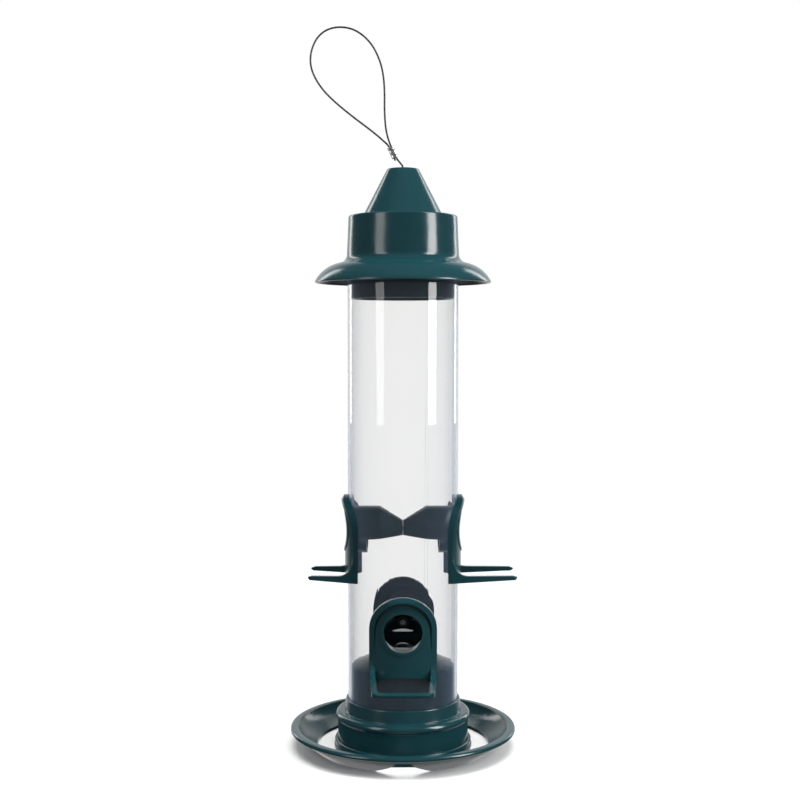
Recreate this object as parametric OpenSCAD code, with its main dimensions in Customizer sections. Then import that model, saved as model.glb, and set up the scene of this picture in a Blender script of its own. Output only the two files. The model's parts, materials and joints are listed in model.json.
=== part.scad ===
// Hanging tube feeder for small birds: a clear seed tube between a coned cap and a
// round base, four feeding ports in two crossed rows, a seed tray under the base
// and a wire-rope loop to hang it from.
// Millimetres, +Z up. The origin is on the tube's axis, level with the tray's
// underside. The front of the feeder faces -Y.

/* [Seed tube] */
// Outside diameter of the clear tube
tube_od = 63.5; // [63:0.1:64]
// Wall thickness of the clear tube
tube_wall = 1.5; // [1.2:0.1:1.8]
// Height of the tube's lower end
tube_bottom_z = 14; // [13.9:0.1:16]
// Height of the tube's upper end
tube_top_z = 269.7; // [268:0.1:269.7]

/* [Feeding ports] */
// Height of the hole centres of the upper pair, which faces left and right
upper_port_z = 126; // [120:1:150]
// Height of the hole centres of the lower pair, which faces front and back
lower_port_z = 72.3; // [72:0.1:74]
// Radius of the hole that the seed is taken through
port_hole_r = 10.8; // [9:0.1:11.5]
// Width of the saddle plate, straight across
plate_w = 38; // [36:0.5:39]
// Thickness of the saddle plate
plate_t = 1.7; // [1.4:0.1:2.2]
// Outside radius of the seed hood inside the tube
hood_r = 13.5; // [12.5:0.1:13.7]
// Wall thickness of the seed hood
hood_wall = 1.5; // [1.2:0.1:2]
// Reach of the right port's forked perch from the tube's axis
right_reach = 64.8; // [60:0.2:68]
// Reach of the left port's forked perch, which is shorter
left_reach = 54; // [50:0.2:68]
// Reach of the lower perches, which are closed by a crossbar
lower_reach = 68.4; // [64:0.2:70]
// Width of each perch prong
prong_w = 3; // [2.4:0.1:3.6]

/* [Cap] */
// Radius of the cap's brim
brim_r = 50.4; // [50.2:0.1:50.8]
// Height of the brim's lower edge
brim_z = 267.6; // [267.4:0.1:267.9]
// Radius at the foot of the cap's drum
drum_foot_r = 32.1; // [32:0.05:32.3]
// Height of the step between drum and cone
cap_step_z = 305.8; // [300:0.1:308]
// Radius at the foot of the cone
cone_foot_r = 23; // [20:0.5:26]
// Height of the cap's top
cap_top_z = 332.5; // [326:0.5:340]
// Radius of the flat at the top of the cone
cap_top_r = 9.35; // [8:0.05:12]
// Wall thickness of the cap
cap_wall = 1.7; // [1.5:0.1:1.8]

/* [Base and tray] */
// Radius of the base drum at its shoulder
base_r = 38.8; // [38.5:0.1:39]
// Height of the shoulder between base drum and neck
base_shoulder_z = 21.3; // [20:0.1:22]
// Height of the neck's upper edge
neck_top_z = 28.4; // [26:0.1:30]
// Height of the rim of the seed deflector inside the tube
deflector_rim_z = 48; // [44:0.5:50]
// Height of the rounded top of the seed deflector
deflector_tip_z = 59.5; // [57:0.5:61]
// Radius of the tray's rim
tray_r = 65; // [64:0.5:66]
// Height of the tray's rim
tray_h = 12.3; // [11.5:0.1:13]
// Wall thickness of the tray
tray_wall = 1.8; // [1.5:0.1:1.9]

/* [Hanger] */
// Diameter of the wire rope
cable_d = 1.1; // [1:0.05:1.2]
// Length of the loop ferrule
loop_ferrule_l = 7; // [6:0.5:7]

/* [Hidden] */
$fn = 96;

plastic_green = [0.11, 0.20, 0.22];
clear_plastic = [0.86, 0.89, 0.90, 0.35];
zinc = [0.66, 0.67, 0.69];
aluminium = [0.72, 0.73, 0.74];
dark_steel = [0.20, 0.21, 0.22];

// clearances between pieces
touch = 0.05;   // pieces of one body, side by side
slip = 0.3;     // pieces that move past each other
eps = 0.01;

tube_r = tube_od / 2;
tube_in_r = tube_r - tube_wall;

// saddle plate, in the port's own frame: X outwards, the hole centre at z = 0
plate_in_r = tube_r + touch;
plate_out_r = plate_in_r + plate_t;
plate_arch_z = 1.1;
plate_foot_z = -28.6;
plate_sill_rise = 3.7;
visor_w = 3;
visor_out = 2;
visor_foot_z = -12;
bead_w = 1.7;
bead_out = 0.5;

// seed hood
hood_knee_x = 13.3;
hood_neck_r = 4.8;
hood_neck_z = 0.5;
hood_neck_in_r = 3.2;
hood_neck_foot_z = -3;
hood_wall_foot_z = -4.4;
sill_l = 13;
neck_block_l = 4.5;
port_screw_r = 1.2;
port_screw_head_r = 2.1;
port_screw_head_l = 1.4;

// perch
prong_top_z = -24.5;
prong_tip_z = -26.8;
prong_tip_half_w = 17;
perch_fillet_r = 8.5;
bar_depth = 3.3;
tip_taper_l = 2.4;

// cap
brim_arc_r = 19.8;
brim_arc_c = [32.8, 259.5];
brim_fillet_r = 5.1;
drum_top_r = 31.2;
drum_edge_r = 1;
cap_edge_r = 0.8;
cable_hole_r = cable_d / 2 + 0.35;
ring_bottom_z = 258.4;
ring_top_z = 294;
ring_wall = 1.8;
ring_out_r = tube_in_r - slip;

// base
collar_wall = 1.8;
floor_top_z = tube_bottom_z - slip;
floor_t = 1.8;
collar_bottom_z = tray_wall + slip;
neck_top_r = 33;
neck_foot_r = 33.8;
neck_round = 0.6;
drum_r = base_r - 1.1;
shoulder_round = 2.6;
deflector_r = 29.9;
deflector_wall = 1.6;
dome_r = 8.5;
base_screw_pitch_r = 22;
base_screw_r = 1.5;
base_screw_l = 12;
boss_r = 4;

// tray
hub_in_r = drum_r + slip;
hub_out_r = hub_in_r + 1.4;
hub_top_z = 5.2;
seat_r = 35;
tray_flat_r = 49.5;
tray_crease_r = 58.4;
tray_crease_z = 8.2;
tray_wall_top_r = 60.2;
lip_t = 2.1;
slot_in_r = hub_out_r + 0.4;
slot_out_r = 49.6;
slot_half_angle = 40;
notch_in_r = 42;
notch_out_r = 60;
notch_half_w = 16;

// hanger: X and height above the cap's top, from the stop inside the cap,
// through the ferrule, round the loop and back into the ferrule
cable_route = [
    [0, -9], [0, -4.5], [0, 0], [-0.3, 1.7], [-1.3, 3.2], [-2.6, 4.7], [-3.8, 6.5],
    [-5.4, 9.8], [-6.9, 13], [-8.8, 18.5], [-10, 25], [-10.5, 34], [-10.5, 42.5], [-11, 50.9],
    [-12.4, 58.5], [-14.9, 65.1], [-18.2, 70.7], [-23, 75.6], [-29, 79], [-35.7, 80.1],
    [-42, 79], [-47, 75.9], [-50.6, 70.7], [-52.5, 64.1], [-52.2, 57.5], [-49.6, 50.9],
    [-45.2, 44.5], [-39.5, 38.7], [-32.8, 33], [-25.6, 27.4], [-19.2, 22.6], [-14.4, 18.8],
    [-11, 15.8], [-9.2, 14.2], [-7.9, 12.4], [-6.4, 9.2], [-4.9, 6], [-4.3, 4.8]
];
cable_sides = 8;
rings_per_span = 2;
loop_ferrule_foot = [-4.4, 6.3];
loop_ferrule_lean = 25.1;
strand_gap = 0.6;
ferrule_wall = 0.65;
stop_ferrule_l = 6;
stop_ferrule_r = 1.7;
washer_r = 5.5;
washer_t = 1.2;

// ---------------------------------------------------------------- helpers

// points of a circular arc from angle a0 to a1
function arc(c, r, a0, a1, n = 8) =
    [for (i = [0:n]) c + r * [cos(a0 + (a1 - a0) * i / n), sin(a0 + (a1 - a0) * i / n)]];

// point on a smooth curve through a list of points, t = 0 .. len - 1
function clampi(i, n) = max(0, min(n, i));
function curve_at(p, t) =
    let (n = len(p) - 1, i = min(floor(t), n - 1), u = t - i)
    let (a = p[clampi(i - 1, n)], b = p[i], c = p[i + 1], d = p[clampi(i + 2, n)])
    b + 0.5 * u * (c - a + u * (2 * a - 5 * b + 4 * c - d + u * (3 * (b - c) + d - a)));

// a round tube swept along a route that lies in the XZ plane
module sweep_flat_route(route, r, sides, per_span) {
    n = (len(route) - 1) * per_span;
    mid = [for (i = [0:n]) curve_at(route, i / per_span)];
    way = [for (i = [0:n]) mid[clampi(i + 1, n)] - mid[clampi(i - 1, n)]];
    rings = [
        for (i = [0:n], j = [0:sides - 1])
            let (side = [way[i][1], -way[i][0]] / norm(way[i]), a = 360 * j / sides)
            [mid[i][0] + r * cos(a) * side[0], r * sin(a), mid[i][1] + r * cos(a) * side[1]]
    ];
    walls = [
        for (i = [0:n - 1], j = [0:sides - 1])
            let (k = (j + 1) % sides)
            [i * sides + j, i * sides + k, (i + 1) * sides + k, (i + 1) * sides + j]
    ];
    foot = [for (j = [sides - 1:-1:0]) j];
    head = [for (j = [0:sides - 1]) n * sides + j];
    polyhedron(points = rings, faces = concat([foot, head], walls), convexity = 10);
}

// a cylinder along +X
module rod_x(x0, x1, r) {
    translate([x0, 0, 0]) rotate([0, 90, 0]) cylinder(h = x1 - x0, r = r);
}

// a shape drawn in (Y, Z) and carried along +X
module extrude_x(x0, x1) {
    translate([x0, 0, 0]) rotate([90, 0, 90]) linear_extrude(x1 - x0) children();
}

// a shape drawn in (X, Z) and carried along Y, centred
module extrude_y(w) {
    translate([0, w / 2, 0]) rotate([90, 0, 0]) linear_extrude(w) children();
}

// a pan-head screw along +X whose head seats at x = 0 and points to +X
module pan_screw(shank_r, shank_l, head_r, head_l) {
    difference() {
        union() {
            rod_x(-shank_l, eps, shank_r);
            rod_x(0, head_l * 0.6, head_r);
            translate([head_l * 0.6, 0, 0]) rotate([0, 90, 0])
                cylinder(h = head_l * 0.4, r1 = head_r, r2 = head_r * 0.7);
        }
        for (a = [0, 90]) rotate([a, 0, 0]) translate([head_l * 0.45, -head_r * 0.6, -0.3])
            cube([head_l, head_r * 1.2, 0.6]);
    }
}

// ---------------------------------------------------------------- tube

module tube() {
    color(clear_plastic) difference() {
        translate([0, 0, tube_bottom_z]) cylinder(h = tube_top_z - tube_bottom_z, r = tube_r);
        translate([0, 0, tube_bottom_z - 1])
            cylinder(h = tube_top_z - tube_bottom_z + 2, r = tube_in_r);
        translate([0, 0, upper_port_z]) rod_x(-tube_od, tube_od, hood_r + slip);
        translate([0, 0, lower_port_z]) rotate([0, 0, 90]) rod_x(-tube_od, tube_od, hood_r + slip);
    }
}

// ---------------------------------------------------------------- ports

// outline of the saddle plate: round above, straight sides, a raised sill below
module plate_outline(inset = 0) {
    half = plate_w / 2 - inset;
    translate([0, plate_arch_z]) circle(r = half);
    translate([-half, plate_foot_z]) square([2 * half, plate_arch_z - plate_foot_z]);
}

module sill_outline() {
    half = plate_w / 2 - prong_w;
    polygon(concat(
        [[-half, plate_foot_z - 1], [half, plate_foot_z - 1]],
        [for (i = [0:8]) let (a = 90 * (i / 4 - 1)) [-half * sin(a), plate_foot_z
            + plate_sill_rise * cos(a)]]
    ));
}

module saddle_plate() {
    difference() {
        intersection() {
            translate([0, 0, plate_foot_z - 1]) cylinder(h = 60, r = plate_out_r);
            extrude_x(0, plate_out_r + 1) plate_outline();
        }
        extrude_x(0, plate_out_r + 1) sill_outline();
    }
    // raised rim that turns outwards over the arch and keeps rain off the hole
    arch_top_z = plate_arch_z + plate_w / 2;
    intersection() {
        rotate_extrude() polygon([
            [plate_in_r - 1, visor_foot_z], [plate_out_r, visor_foot_z],
            [plate_out_r + visor_out, arch_top_z - 6], [plate_out_r + visor_out, arch_top_z - 2.4],
            [plate_out_r, arch_top_z + 0.5], [plate_in_r - 1, arch_top_z + 0.5]
        ]);
        extrude_x(0, plate_out_r + visor_out + 1) difference() {
            plate_outline();
            plate_outline(inset = visor_w);
        }
    }
    // low bead round the hole
    intersection() {
        translate([0, 0, -hood_r]) cylinder(h = 2 * hood_r, r = plate_out_r + bead_out);
        rod_x(plate_in_r - 1, plate_out_r + 2, port_hole_r + bead_w);
    }
}

// thin disc across X, as a hull's end
module hood_disc(x, z, r) {
    translate([x, 0, z]) rotate([0, 90, 0]) cylinder(h = eps, r = r, $fn = 32);
}

module hood_outside() {
    rod_x(hood_knee_x, plate_out_r, hood_r);
    hull() {
        hood_disc(touch, hood_neck_z, hood_neck_r);
        hood_disc(hood_knee_x, 0, hood_r);
    }
}

// the inside is round, with a flat sill level with the lowest point of the hole
module hood_inside() {
    intersection() {
        rod_x(hood_knee_x, plate_in_r - 1, hood_r - hood_wall);
        translate([0, -hood_r, -port_hole_r]) cube([plate_out_r, 2 * hood_r, 2 * hood_r]);
    }
    hull() {
        hood_disc(neck_block_l, hood_neck_z, hood_neck_in_r);
        hood_disc(hood_knee_x, 0, hood_r - hood_wall);
    }
}

module seed_hood() {
    sill_x = plate_out_r - sill_l;
    difference() {
        intersection() {
            hood_outside();
            translate([0, 0, -hood_r - 1]) cylinder(h = 2 * hood_r + 2, r = plate_out_r - 0.4);
        }
        hood_inside();
        // open underside, up to the sill behind the plate
        extrude_y(2 * hood_r + 2)
            polygon([[-1, hood_neck_foot_z], [sill_x, hood_wall_foot_z],
                [sill_x, -hood_r - 1], [-1, -hood_r - 1]]);
        translate([0, 0, hood_neck_z]) rod_x(-1, neck_block_l + 1, port_screw_r + touch);
    }
}

// side view of a prong: deep at the root, with a fillet up to the plate and a taper
// at the tip
module prong_side(reach) {
    root_x = 27;
    edge_x = 28.6;
    polygon(concat(
        [[root_x, prong_top_z + perch_fillet_r], [root_x, plate_foot_z], [edge_x, plate_foot_z],
            [reach - tip_taper_l / 2, prong_tip_z], [reach, prong_tip_z + 0.8],
            [reach, prong_top_z - 0.7], [reach - tip_taper_l, prong_top_z]],
        arc([edge_x + perch_fillet_r, prong_top_z + perch_fillet_r], perch_fillet_r, 270, 180)
    ));
}

// plan view of a perch's outline: it tapers outwards and has round corners
module perch_plan(reach, root_half, tip_half, corner) {
    polygon([[20, -root_half], [reach - corner, -tip_half], [reach, -tip_half + corner],
        [reach, tip_half - corner], [reach - corner, tip_half], [20, root_half]]);
    for (s = [-1, 1]) translate([reach - corner, s * (tip_half - corner)]) circle(r = corner);
}

// two prongs, joined at the tips by a crossbar of the given depth, or free with no bar
module perch(reach, bar) {
    gap_reach = bar > 0 ? reach - bar : reach + 10;
    outer_corner = bar > 0 ? 5 : 2.4;
    difference() {
        intersection() {
            extrude_y(plate_w + 2) prong_side(reach);
            translate([0, 0, plate_foot_z - 1]) linear_extrude(20)
                perch_plan(reach, plate_w / 2, prong_tip_half_w, outer_corner);
        }
        translate([0, 0, plate_foot_z - 2]) linear_extrude(22)
            perch_plan(gap_reach, plate_w / 2 - prong_w, prong_tip_half_w - prong_w, 2.5);
    }
}

// one moulding: saddle plate, seed hood and perch
module port(reach, bar) {
    difference() {
        union() {
            difference() {
                union() {
                    saddle_plate();
                    perch(reach, bar);
                }
                translate([0, 0, plate_foot_z - 2]) cylinder(h = 60, r = plate_in_r);
            }
            seed_hood();
        }
        rod_x(plate_in_r - 6, plate_out_r + 3, port_hole_r);
    }
}

module upper_port(turn, reach) {
    color(plastic_green) translate([0, 0, upper_port_z]) rotate([0, 0, turn])
        port(reach, bar = 0);
}

module lower_port(turn) {
    color(plastic_green) translate([0, 0, lower_port_z]) rotate([0, 0, turn])
        port(lower_reach, bar_depth);
}

module port_left() {
    upper_port(180, left_reach);
}

module port_right() {
    upper_port(0, right_reach);
}

module port_front() {
    lower_port(-90);
}

module port_back() {
    lower_port(90);
}

// each screw draws the two ports of a row together through their hood necks
module port_screw() {
    translate([neck_block_l + touch, 0, hood_neck_z])
        pan_screw(port_screw_r, 2 * neck_block_l - 1, port_screw_head_r, port_screw_head_l);
}

module upper_port_screw() {
    color(zinc) translate([0, 0, upper_port_z]) port_screw();
}

module lower_port_screw() {
    color(zinc) translate([0, 0, lower_port_z]) rotate([0, 0, -90]) port_screw();
}

// ---------------------------------------------------------------- cap

module cap() {
    foot_a = asin((brim_z + 1 - brim_arc_c[1]) / brim_arc_r);
    fillet_c = [drum_foot_r + brim_fillet_r, 284];
    cone_lean = atan((cone_foot_r - cap_top_r) / (cap_top_z - cap_step_z));
    in_step_z = cap_step_z - cap_wall;
    in_top_z = cap_top_z - cap_wall;
    color(plastic_green) rotate_extrude() polygon(concat(
        // outside, from the brim's edge up to the cable hole
        [[brim_r - 0.5, brim_z], [brim_r, brim_z + 0.4]],
        arc(brim_arc_c, brim_arc_r, foot_a, 81, 10),
        arc(fillet_c, brim_fillet_r, 256, 180, 6),
        arc([drum_top_r - drum_edge_r, cap_step_z - drum_edge_r], drum_edge_r, 0, 90, 4),
        [[cone_foot_r, cap_step_z]],
        arc([cap_top_r - cap_edge_r, cap_top_z - cap_edge_r], cap_edge_r, cone_lean, 90, 4),
        [[cable_hole_r, cap_top_z], [cable_hole_r, in_top_z]],
        // inside, back down to the brim
        [[cap_top_r - 0.9, in_top_z], [cone_foot_r - 0.9, in_step_z],
            [drum_top_r - cap_wall, in_step_z]],
        arc(fillet_c, brim_fillet_r + cap_wall, 180, 254, 6),
        arc(brim_arc_c, brim_arc_r - cap_wall, 79, foot_a + 2, 10),
        [[brim_r - 1.5, brim_z]]
    ));
}

// ring pressed into the drum: its skirt centres the cap inside the tube, and its
// shoulder stands on the tube's upper edge
module cap_ring() {
    shoulder_r = tube_r - 0.2;
    seat_z = tube_top_z + slip;
    color(plastic_green) rotate_extrude() polygon([
        [ring_out_r - ring_wall, ring_bottom_z], [ring_out_r - 0.4, ring_bottom_z],
        [ring_out_r, ring_bottom_z + 1], [ring_out_r, seat_z], [shoulder_r, seat_z],
        [shoulder_r, seat_z + 2], [ring_out_r, seat_z + 4],
        [ring_out_r, ring_top_z], [ring_out_r - ring_wall, ring_top_z]
    ]);
}

module stop_washer() {
    color(zinc) translate([0, 0, cap_top_z - cap_wall - washer_t - touch]) difference() {
        cylinder(h = washer_t, r = washer_r);
        translate([0, 0, -1]) cylinder(h = washer_t + 2, r = cable_hole_r);
    }
}

// ---------------------------------------------------------------- hanger

module hanger_cable() {
    color(dark_steel) translate([0, 0, cap_top_z])
        sweep_flat_route(cable_route, cable_d / 2, cable_sides, rings_per_span);
}

// oval sleeve crimped over both strands at the foot of the loop
module loop_ferrule() {
    strand_r = cable_d / 2 + 0.02;
    out_r = strand_r + ferrule_wall;
    color(aluminium) translate([loop_ferrule_foot[0], 0, cap_top_z + loop_ferrule_foot[1]])
        rotate([0, -loop_ferrule_lean, 0]) linear_extrude(loop_ferrule_l) difference() {
            union() {
                for (s = [-1, 1]) translate([s * strand_gap, 0]) circle(r = out_r, $fn = 48);
                translate([-strand_gap, -out_r]) square([2 * strand_gap, 2 * out_r]);
            }
            for (s = [-1, 1]) translate([s * strand_gap, 0]) circle(r = strand_r, $fn = 32);
        }
}

// plain sleeve crimped on the cable's lower end, which bears on the washer
module stop_ferrule() {
    top_z = cap_top_z - cap_wall - washer_t - touch - slip;
    color(aluminium) translate([0, 0, top_z - stop_ferrule_l]) difference() {
        cylinder(h = stop_ferrule_l, r = stop_ferrule_r);
        translate([0, 0, -1]) cylinder(h = stop_ferrule_l + 2, r = cable_d / 2 + 0.02);
    }
}

// ---------------------------------------------------------------- base

module base_collar() {
    neck_in_r = tube_r + 0.1;
    in_r = drum_r - collar_wall;
    floor_z = floor_top_z - floor_t;
    bead_z = base_shoulder_z - shoulder_round;
    color(plastic_green) difference() {
        rotate_extrude() polygon(concat(
            [[0, floor_z], [in_r, floor_z], [in_r, collar_bottom_z], [drum_r - 0.6, collar_bottom_z],
                [drum_r, collar_bottom_z + 1.4], [drum_r, bead_z - 2.2], [base_r, bead_z - 0.8]],
            arc([base_r - shoulder_round, bead_z], shoulder_round, 0, 90),
            [[neck_foot_r, base_shoulder_z]],
            arc([neck_top_r - neck_round, neck_top_z - neck_round], neck_round, 6, 90, 4),
            [[neck_in_r, neck_top_z], [neck_in_r, floor_top_z], [0, floor_top_z]]
        ));
        base_screw_places() translate([0, 0, floor_z - 1])
            cylinder(h = floor_t + 2, r = base_screw_r + 0.2);
    }
}

module base_screw_places() {
    for (a = [30, 150, 270]) rotate([0, 0, a]) translate([base_screw_pitch_r, 0, 0]) children();
}

// closed plug inside the tube: its coned top, round at the middle, sheds the last
// seed towards the ports
module seed_deflector() {
    foot_z = floor_top_z + touch;
    in_r = deflector_r - deflector_wall;
    edge = [deflector_r - 0.8, deflector_rim_z];
    dome_c = [0, deflector_tip_z - dome_r];
    to_edge = edge - dome_c;
    cone_touches_a = atan2(to_edge[1], to_edge[0]) + acos(dome_r / norm(to_edge));
    color(plastic_green) difference() {
        union() {
            rotate_extrude() polygon(concat(
                [[in_r, foot_z], [deflector_r, foot_z], [deflector_r, deflector_rim_z - 0.8], edge],
                arc(dome_c, dome_r, cone_touches_a, 90, 4),
                [[0, deflector_tip_z - deflector_wall - 0.3],
                    [in_r, deflector_rim_z - deflector_wall]]
            ));
            base_screw_places() translate([0, 0, foot_z])
                cylinder(h = deflector_rim_z + 1 - foot_z, r = boss_r);
        }
        base_screw_places() translate([0, 0, foot_z - 1])
            cylinder(h = base_screw_l, r = base_screw_r + touch);
    }
}

module base_screws() {
    color(zinc) base_screw_places()
        translate([0, 0, floor_top_z - floor_t - touch]) rotate([0, 90, 0])
            pan_screw(base_screw_r, base_screw_l - 1, 2 * base_screw_r, 2);
}

// ---------------------------------------------------------------- tray

// hub, floor, bowl and rolled lip, then the underside back to the hub
module tray_section() {
    under_crease_r = tray_crease_r + 1;
    polygon(concat(
        [[seat_r, 0], [seat_r, tray_wall], [hub_in_r, tray_wall], [hub_in_r, hub_top_z]],
        arc([hub_out_r - 0.9, hub_top_z - 0.9], 0.9, 90, 0, 4),
        [[hub_out_r, tray_wall], [tray_flat_r, tray_wall], [tray_crease_r, tray_crease_z],
            [tray_wall_top_r, tray_h - 1.2]],
        arc([tray_wall_top_r + 1.2, tray_h - 1.2], 1.2, 165, 90, 4),
        arc([tray_r - 1.4, tray_h - 1.4], 1.4, 90, 0, 5),
        [[tray_r, tray_h - lip_t], [tray_r - 0.6, tray_h - lip_t - 0.4],
            [tray_wall_top_r + 1.9, tray_h - lip_t - 0.2], [under_crease_r + 0.9, tray_crease_z],
            [under_crease_r, tray_crease_z - tray_wall + 0.4], [tray_flat_r + 1, 0]]
    ));
}

// plan of a side slot between hub and bowl, centred on +X
module slot_plan() {
    difference() {
        circle(r = slot_out_r);
        circle(r = slot_in_r);
        for (s = [-1, 1]) rotate([0, 0, s * slot_half_angle]) translate([0, s * tray_r])
            square([4 * tray_r, 2 * tray_r], center = true);
        translate([-tray_r, 0]) square(2 * tray_r, center = true);
    }
}

// plan of the notch that runs out under the rim at front and back
module notch_plan() {
    w = notch_half_w;
    polygon([[notch_in_r, -w], [slot_out_r - 2, -w], [notch_out_r - 4, -w * 0.42],
        [notch_out_r, -w * 0.25], [notch_out_r, w * 0.25], [notch_out_r - 4, w * 0.42],
        [slot_out_r - 2, w], [notch_in_r, w]]);
}

module tray() {
    color(plastic_green) difference() {
        rotate_extrude() tray_section();
        translate([0, 0, -1]) linear_extrude(tray_h + 2) {
            for (a = [0, 180]) rotate([0, 0, a]) slot_plan();
            for (a = [90, 270]) rotate([0, 0, a]) notch_plan();
        }
    }
}

tube();
port_left();
port_right();
port_front();
port_back();
upper_port_screw();
lower_port_screw();
cap();
cap_ring();
stop_washer();
hanger_cable();
loop_ferrule();
stop_ferrule();
base_collar();
seed_deflector();
base_screws();
tray();
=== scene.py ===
import json
import math

import bmesh
import bpy
from mathutils import Matrix, Vector


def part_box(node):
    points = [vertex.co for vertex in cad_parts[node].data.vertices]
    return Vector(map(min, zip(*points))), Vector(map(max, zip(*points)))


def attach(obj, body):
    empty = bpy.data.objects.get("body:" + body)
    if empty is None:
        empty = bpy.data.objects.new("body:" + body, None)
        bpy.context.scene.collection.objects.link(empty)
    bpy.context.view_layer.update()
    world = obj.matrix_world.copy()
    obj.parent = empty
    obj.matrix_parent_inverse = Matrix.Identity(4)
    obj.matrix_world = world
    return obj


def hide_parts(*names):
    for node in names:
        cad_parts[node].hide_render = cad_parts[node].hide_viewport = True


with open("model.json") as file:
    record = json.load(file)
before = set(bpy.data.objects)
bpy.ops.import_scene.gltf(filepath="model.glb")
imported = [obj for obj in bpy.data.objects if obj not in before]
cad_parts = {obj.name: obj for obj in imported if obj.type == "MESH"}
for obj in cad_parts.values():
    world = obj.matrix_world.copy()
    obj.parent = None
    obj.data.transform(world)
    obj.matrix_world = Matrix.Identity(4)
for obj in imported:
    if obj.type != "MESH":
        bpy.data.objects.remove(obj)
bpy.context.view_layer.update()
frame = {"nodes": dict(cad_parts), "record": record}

MM = 0.001
NODES = frame["nodes"]

# ------------------------------------------------------------------ camera

EYE_HEIGHT = 0.2346
EYE_DISTANCE = 0.750
EYE_TILT = math.radians(2.6)
AXIS_OFFSET = 0.0017  # the feeder stands this much right of the picture's middle


def add_camera():
    data = bpy.data.cameras.new("camera")
    data.sensor_width = 36
    data.lens = 58.7
    data.clip_start = 0.01
    camera = bpy.data.objects.new("camera", data)
    camera.location = (-AXIS_OFFSET, -EYE_DISTANCE, EYE_HEIGHT)
    camera.rotation_euler = (math.pi / 2 - EYE_TILT, 0, 0)
    bpy.context.collection.objects.link(camera)
    bpy.context.scene.camera = camera


add_camera()

# ------------------------------------------------------------------ wire rope

CABLE_D = 1.1 * MM
CAP_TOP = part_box("cap")[1][2]
# X and height above the cap's top, in millimetres: from the stop inside the cap,
# through the ferrule, round the loop and back into the ferrule
CABLE_ROUTE = [
    (0, -9), (0, -4.5), (0, 0), (-0.3, 1.7), (-1.3, 3.2), (-2.6, 4.7), (-3.8, 6.5),
    (-5.4, 9.8), (-6.9, 13), (-8.8, 18.5), (-10, 25), (-10.5, 34), (-10.5, 42.5), (-11, 50.9),
    (-12.4, 58.5), (-14.9, 65.1), (-18.2, 70.7), (-23, 75.6), (-29, 79), (-35.7, 80.1),
    (-42, 79), (-47, 75.9), (-50.6, 70.7), (-52.5, 64.1), (-52.2, 57.5), (-49.6, 50.9),
    (-45.2, 44.5), (-39.5, 38.7), (-32.8, 33), (-25.6, 27.4), (-19.2, 22.6), (-14.4, 18.8),
    (-11, 15.8), (-9.2, 14.2), (-7.9, 12.4), (-6.4, 9.2), (-4.9, 6), (-4.3, 4.8),
]
FERRULE_FOOT = (-4.4, 6.3)
FERRULE_LEAN = math.radians(25.1)
FERRULE_LENGTH = 7 * MM


def route_point(point):
    return Vector((point[0] * MM, 0, CAP_TOP + point[1] * MM))


def smooth_line(points, step):
    """Points a step apart on a smooth curve through the given ones."""
    last = len(points) - 1
    fine = []
    for i in range(last):
        a, b = points[max(i - 1, 0)], points[i]
        c, d = points[i + 1], points[min(i + 2, last)]
        parts = max(2, round((c - b).length / (step / 4)))
        for k in range(parts):
            u = k / parts
            fine.append(b + 0.5 * u * (c - a + u * (2 * a - 5 * b + 4 * c - d
                                                    + u * (3 * (b - c) + d - a))))
    fine.append(points[last])
    line, run = [fine[0]], 0.0
    for a, b in zip(fine, fine[1:]):
        run += (b - a).length
        if run >= step:
            line.append(b)
            run = 0.0
    if (line[-1] - fine[-1]).length < step / 2:
        line.pop()
    return line + [fine[-1]]


def mesh_object(name, bm, smooth=True):
    bmesh.ops.recalc_face_normals(bm, faces=bm.faces)
    mesh = bpy.data.meshes.new(name)
    bm.to_mesh(mesh)
    bm.free()
    for polygon in mesh.polygons:
        polygon.use_smooth = smooth
    obj = bpy.data.objects.new(name, mesh)
    bpy.context.collection.objects.link(obj)
    return obj


def skin_rings(bm, rings):
    """Walls between rings of points, closed by a face at each end."""
    for low, high in zip(rings, rings[1:]):
        for j in range(len(low)):
            k = (j + 1) % len(low)
            bm.faces.new((low[j], low[k], high[k], high[j]))
    bm.faces.new(reversed(rings[0]))
    bm.faces.new(rings[-1])


def sweep(name, line, section):
    """A closed tube along a line in the XZ plane. section(run) gives a ring's (side, depth)
    points at that distance along the line."""
    bm = bmesh.new()
    rings = []
    run = 0.0
    for i, here in enumerate(line):
        way = (line[min(i + 1, len(line) - 1)] - line[max(i - 1, 0)]).normalized()
        side = Vector((way.z, 0, -way.x))
        if i:
            run += (here - line[i - 1]).length
        rings.append([bm.verts.new(here + side * across + Vector((0, depth, 0)))
                      for across, depth in section(run)])
    skin_rings(bm, rings)
    return mesh_object(name, bm)


STRANDS = 6
LAY_LENGTH = 6.5 * MM  # the rope's run for one full turn of a strand
POINTS_PER_STRAND = 8
STRAND_SHOWS = 105  # degrees each way from the middle of a strand's outer side


def rope_section(run):
    """Six round strands laid side by side about the core, turned as the rope runs on."""
    centre_r = CABLE_D / 3
    strand_r = CABLE_D / 6
    turn = 2 * math.pi * run / LAY_LENGTH
    ring = []
    for k in range(STRANDS):
        towards = turn + 2 * math.pi * k / STRANDS
        for j in range(POINTS_PER_STRAND):
            off_middle = -STRAND_SHOWS + 2 * STRAND_SHOWS * j / (POINTS_PER_STRAND - 1)
            around = towards + math.radians(off_middle)
            ring.append((centre_r * math.cos(towards) + strand_r * math.cos(around),
                         centre_r * math.sin(towards) + strand_r * math.sin(around)))
    return ring


def add_cable():
    line = smooth_line([route_point(p) for p in CABLE_ROUTE], 0.4 * MM)
    return sweep("wire_rope", line, rope_section), line


cable, cable_line = add_cable()


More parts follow.
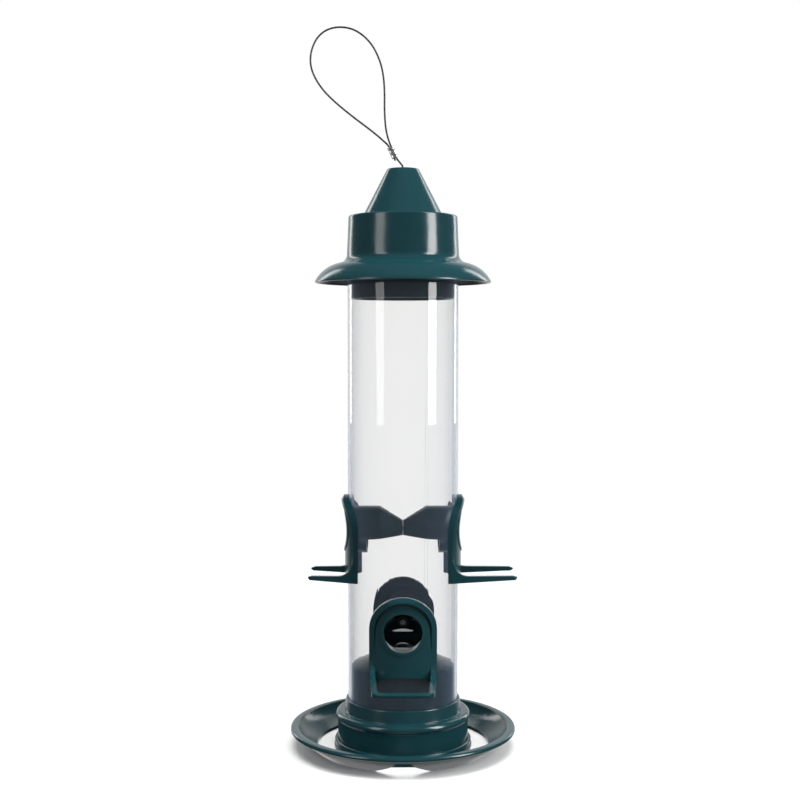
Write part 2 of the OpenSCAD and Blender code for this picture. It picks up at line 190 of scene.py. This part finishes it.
FERRULE_HALF_WIDTH = 1.84 * MM
FERRULE_HALF_DEPTH = 1.2 * MM
FERRULE_RIM_R = 0.25 * MM
FERRULE_SQUARENESS = 0.72  # 1 is a plain ellipse, less is squarer
BITE_PLACES = (0.3, 0.7)  # along the sleeve, from 0 to 1
BITE_WIDTH = 0.11
BITE_DEPTH = 0.20  # part of the sleeve's depth that is pressed in
FERRULE_RINGS = 40
FERRULE_SIDES = 40


def ferrule_ring(t):
    """The sleeve's (x, y) outline at t, which runs from 0 to 1 along it."""
    bite = sum(math.exp(-((t - c) / BITE_WIDTH) ** 2) for c in BITE_PLACES)
    rim = min(t, 1 - t) * FERRULE_LENGTH
    round_off = 0.0
    if rim < FERRULE_RIM_R:
        round_off = FERRULE_RIM_R - math.sqrt(max(0.0, 2 * rim * FERRULE_RIM_R - rim * rim))
    half_width = FERRULE_HALF_WIDTH - round_off
    half_depth = FERRULE_HALF_DEPTH * (1 - BITE_DEPTH * bite) - round_off
    outline = []
    for j in range(FERRULE_SIDES):
        c = math.cos(2 * math.pi * j / FERRULE_SIDES)
        s = math.sin(2 * math.pi * j / FERRULE_SIDES)
        outline.append((half_width * math.copysign(abs(c) ** FERRULE_SQUARENESS, c),
                        half_depth * math.copysign(abs(s) ** FERRULE_SQUARENESS, s)))
    return outline


def add_loop_ferrule():
    """An oval sleeve pressed flat in two bites, with its rims left round."""
    bm = bmesh.new()
    rings = []
    for i in range(FERRULE_RINGS + 1):
        t = i / FERRULE_RINGS
        rings.append([bm.verts.new((x, y, t * FERRULE_LENGTH)) for x, y in ferrule_ring(t)])
    skin_rings(bm, rings)
    foot = route_point(FERRULE_FOOT)
    bm.transform(Matrix.Translation(foot) @ Matrix.Rotation(-FERRULE_LEAN, 4, "Y"))
    return mesh_object("crimped_ferrule", bm)


ferrule = add_loop_ferrule()

# ------------------------------------------------------------------ materials


class Shader:
    """A Principled material and short ways to add nodes to it."""

    def __init__(self, name, **values):
        self.material = bpy.data.materials.new(name)
        self.material.use_nodes = True
        self.tree = self.material.node_tree
        self.principled = self.tree.nodes["Principled BSDF"]
        for socket, value in values.items():
            self.principled.inputs[socket.replace("_", " ")].default_value = value
        self.place = self.add("ShaderNodeTexCoord").outputs["Object"]

    def add(self, kind, **settings):
        node = self.tree.nodes.new(kind)
        for key, value in settings.items():
            if key in node.inputs:
                node.inputs[key].default_value = value
            else:
                setattr(node, key, value)
        return node

    def link(self, source, target):
        self.tree.links.new(source, target)

    def noise(self, scale, detail=4.0, roughness=0.6, stretch=(1, 1, 1)):
        mapping = self.add("ShaderNodeMapping")
        mapping.inputs["Scale"].default_value = stretch
        self.link(self.place, mapping.inputs["Vector"])
        noise = self.add("ShaderNodeTexNoise", Scale=scale, Detail=detail, Roughness=roughness)
        self.link(mapping.outputs["Vector"], noise.inputs["Vector"])
        return noise.outputs["Fac"]

    def spread(self, value, low, high, start=0.3, end=0.7):
        ramp = self.add("ShaderNodeMapRange")
        for socket, number in (("From Min", start), ("From Max", end),
                               ("To Min", low), ("To Max", high)):
            ramp.inputs[socket].default_value = number
        self.link(value, ramp.inputs["Value"])
        return ramp.outputs["Result"]

    def tint(self, value, dark, light, start=0.3, end=0.7):
        ramp = self.add("ShaderNodeValToRGB")
        ramp.color_ramp.elements[0].color = (*dark, 1)
        ramp.color_ramp.elements[1].color = (*light, 1)
        ramp.color_ramp.elements[0].position = start
        ramp.color_ramp.elements[1].position = end
        self.link(value, ramp.inputs["Fac"])
        self.link(ramp.outputs["Color"], self.principled.inputs["Base Color"])

    def bump(self, *layers):
        """layers of (height output, distance in metres), each laid over the one before."""
        normal = None
        for height, distance in layers:
            node = self.add("ShaderNodeBump", Strength=1.0, Distance=distance)
            self.link(height, node.inputs["Height"])
            if normal is not None:
                self.link(normal, node.inputs["Normal"])
            normal = node.outputs["Normal"]
        self.link(normal, self.principled.inputs["Normal"])


def green_plastic():
    s = Shader("green_plastic", IOR=1.5)
    flow = s.noise(9, 3, stretch=(1, 1, 0.25))
    s.tint(flow, (0.005, 0.029, 0.036), (0.0075, 0.039, 0.047))
    s.link(s.spread(s.noise(60, 5), 0.13, 0.23), s.principled.inputs["Roughness"])
    s.bump((s.noise(2600, 2), 0.008 * MM), (s.noise(90, 3), 0.04 * MM))
    return s.material


def clear_plastic():
    """Drawn acrylic tube: clear face on, greyer where it is seen edge on, with a faint haze."""
    s = Shader("clear_plastic", IOR=1.45, Specular_IOR_Level=0.2, Transmission_Weight=0.995,
               Sheen_Weight=0.2, Sheen_Roughness=0.6, Sheen_Tint=(0.35, 0.6, 1, 1))
    edge = s.add("ShaderNodeLayerWeight", Blend=0.28).outputs["Facing"]
    s.tint(edge, (0.995, 0.992, 0.985), (0.78, 0.79, 0.80), start=0.4, end=0.95)
    scuffs = s.noise(140, 6, stretch=(1, 1, 0.5))
    s.link(s.spread(scuffs, 0.005, 0.05, 0.45, 0.75), s.principled.inputs["Roughness"])
    s.bump((s.noise(25, 2, stretch=(1, 1, 0.04)), 0.03 * MM))
    return s.material


def rope_steel():
    s = Shader("rope_steel", Metallic=0.9, Roughness=0.45)
    s.tint(s.noise(900, 3), (0.035, 0.035, 0.037), (0.12, 0.118, 0.115))
    s.bump((s.noise(5000, 1, stretch=(1, 1, 0.3)), 0.02 * MM))
    return s.material


def metal(name, dark, light, roughness, grain):
    s = Shader(name, Metallic=1.0, Roughness=roughness)
    s.tint(s.noise(400, 4), dark, light)
    s.link(s.spread(s.noise(700, 4), roughness - 0.08, roughness + 0.1),
           s.principled.inputs["Roughness"])
    s.bump((s.noise(grain, 3), 0.03 * MM))
    return s.material


GREEN = green_plastic()
CLEAR = clear_plastic()
ROPE = rope_steel()
ALLOY = metal("ferrule_alloy", (0.50, 0.50, 0.51), (0.74, 0.74, 0.75), 0.32, 1500)
ZINC = metal("zinc_steel", (0.42, 0.43, 0.45), (0.62, 0.63, 0.65), 0.35, 2200)

NODE_MATERIALS = {
    "clear_tube": CLEAR,
    "green_plastic": GREEN,
    "zinc_steel": ZINC,
    "ferrule_alloy": ALLOY,
    "wire_rope": ROPE,
}


def dress(obj, material):
    obj.data.materials.clear()
    obj.data.materials.append(material)


for part in frame["record"]["subparts"]:
    dress(NODES[part["node"]], NODE_MATERIALS[part["material_slot"]])

dress(cable, ROPE)
dress(ferrule, ALLOY)

# ------------------------------------------------------------------ CAD nodes' edges

# width of each node's rounded edges, in millimetres
EDGE_ROUNDING = {
    "port_left": 0.5, "port_right": 0.5, "port_front": 0.5, "port_back": 0.5,
    "tray": 0.35, "base_collar": 0.3, "cap": 0.3, "cap_ring": 0.3, "seed_deflector": 0.5,
    "tube": 0.2, "upper_port_screw": 0.12, "lower_port_screw": 0.12, "base_screws": 0.12,
    "stop_washer": 0.15, "stop_ferrule": 0.15,
}


def round_edges(name, width):
    obj = NODES[name]
    for polygon in obj.data.polygons:
        polygon.use_smooth = True
    weld = obj.modifiers.new("weld", "WELD")
    weld.merge_threshold = 0.002 * MM
    bevel = obj.modifiers.new("round edges", "BEVEL")
    bevel.width = width * MM
    bevel.segments = 3
    bevel.limit_method = "ANGLE"
    bevel.angle_limit = math.radians(35)
    bevel.use_clamp_overlap = True
    normals = obj.modifiers.new("flat faces stay flat", "WEIGHTED_NORMAL")
    normals.keep_sharp = True
    normals.weight = 90


for node_name, rounding in EDGE_ROUNDING.items():
    round_edges(node_name, rounding)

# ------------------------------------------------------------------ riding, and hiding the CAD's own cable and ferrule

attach(cable, "hanger")
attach(ferrule, "hanger")
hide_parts("hanger_cable")
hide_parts("loop_ferrule")

# ------------------------------------------------------------------ floor and light

FLOOR_RADIUS = 0.8
FLOOR_FADES_FROM = 0.1
FLOOR_GONE_AT = FLOOR_RADIUS * 0.95


def floor_material():
    """Pale paper that fades out into the white surround."""
    s = Shader("floor", Roughness=0.8)
    s.principled.inputs["Base Color"].default_value = (0.88, 0.88, 0.88, 1)
    distance = s.add("ShaderNodeVectorMath", operation="LENGTH")
    s.link(s.place, distance.inputs[0])
    s.link(s.spread(distance.outputs["Value"], 1, 0, FLOOR_FADES_FROM, FLOOR_GONE_AT),
           s.principled.inputs["Alpha"])
    return s.material


def add_floor():
    """A disc that the camera sees and the feeder shades. The feeder doesn't mirror it."""
    bm = bmesh.new()
    bmesh.ops.create_circle(bm, cap_ends=True, segments=96, radius=FLOOR_RADIUS)
    floor = mesh_object("floor", bm, smooth=False)
    dress(floor, floor_material())
    floor.visible_glossy = False
    floor.visible_diffuse = False
    floor.visible_transmission = False


LIGHTS_AIM_AT = Vector((0, 0, 0.2))


def softbox(name, azimuth, size, radiance, distance=1.2, height=0.62, mirrored=True):
    """A soft light standing at an azimuth round the feeder: 0 is in front, 90 to the right."""
    a = math.radians(azimuth)
    data = bpy.data.lights.new(name, "AREA")
    data.shape = "RECTANGLE"
    data.size, data.size_y = size
    data.energy = radiance * math.pi * size[0] * size[1]
    light = bpy.data.objects.new(name, data)
    light.location = (distance * math.sin(a), -distance * math.cos(a), height)
    aim = LIGHTS_AIM_AT - light.location
    light.rotation_euler = aim.to_track_quat("-Z", "Y").to_euler()
    light.visible_camera = False
    light.visible_transmission = False
    light.visible_glossy = mirrored
    bpy.context.collection.objects.link(light)


class WorldNodes:
    """Short ways to add nodes to the world's tree."""

    def __init__(self, tree):
        self.tree = tree

    def math(self, operation, a, b):
        node = self.tree.nodes.new("ShaderNodeMath")
        node.operation = operation
        for value, socket in zip((a, b), node.inputs):
            if isinstance(value, bpy.types.NodeSocket):
                self.tree.links.new(value, socket)
            else:
                socket.default_value = value
        return node.outputs["Value"]

    def spread(self, value, start, end, low, high):
        ramp = self.tree.nodes.new("ShaderNodeMapRange")
        for socket, number in (("From Min", start), ("From Max", end),
                               ("To Min", low), ("To Max", high)):
            ramp.inputs[socket].default_value = number
        self.tree.links.new(value, ramp.inputs["Value"])
        return ramp.outputs["Result"]


STUDIO_DARK = 0.10
BACKDROP = 0.8
BACKDROP_FROM, BACKDROP_FULL = 0.62, 0.88  # how far a ray points backwards, 1 is straight back
TABLE = 0.8
TABLE_FROM, TABLE_FULL = -0.45, -0.8  # how far a ray points down, -1 is straight down


def add_world():
    """White to the eye, also through the clear tube. To every ray that has bounced it is a
    dark studio with a pale backdrop behind the feeder, and in mirrored rays a pale table
    below it."""
    world = bpy.data.worlds.new("studio")
    world.use_nodes = True
    tree = world.node_tree
    nodes = WorldNodes(tree)
    rays = tree.nodes.new("ShaderNodeLightPath")
    direction = tree.nodes.new("ShaderNodeSeparateXYZ")
    tree.links.new(tree.nodes.new("ShaderNodeTexCoord").outputs["Generated"],
                   direction.inputs["Vector"])
    behind = nodes.spread(direction.outputs["Y"], BACKDROP_FROM, BACKDROP_FULL,
                          STUDIO_DARK, BACKDROP)
    below = nodes.spread(direction.outputs["Z"], TABLE_FROM, TABLE_FULL, STUDIO_DARK, TABLE)
    mirrored_table = nodes.math("MULTIPLY", below, rays.outputs["Is Glossy Ray"])
    studio = nodes.math("MAXIMUM", behind, mirrored_table)
    bounces = nodes.math("ADD", rays.outputs["Diffuse Depth"], rays.outputs["Glossy Depth"])
    seen = nodes.math("LESS_THAN", bounces, 0.5)
    tree.links.new(nodes.math("MAXIMUM", studio, seen), tree.nodes["Background"].inputs["Strength"])
    tree.nodes["Background"].inputs["Color"].default_value = (1, 1, 1, 1)
    bpy.context.scene.world = world


add_floor()
add_world()
softbox("left softbox", -48, (0.42, 1.1), 4.0)
softbox("right softbox", 62, (0.42, 1.1), 13.0)
softbox("left edge strip", -138, (0.22, 1.1), 4.0)
softbox("right edge strip", 138, (0.22, 1.1), 4.0)
softbox("overhead", 0, (1.1, 1.1), 7.0, distance=0.2, height=1.4, mirrored=False)

bpy.context.scene.view_settings.view_transform = "Standard"
bpy.context.scene.view_settings.look = "None"
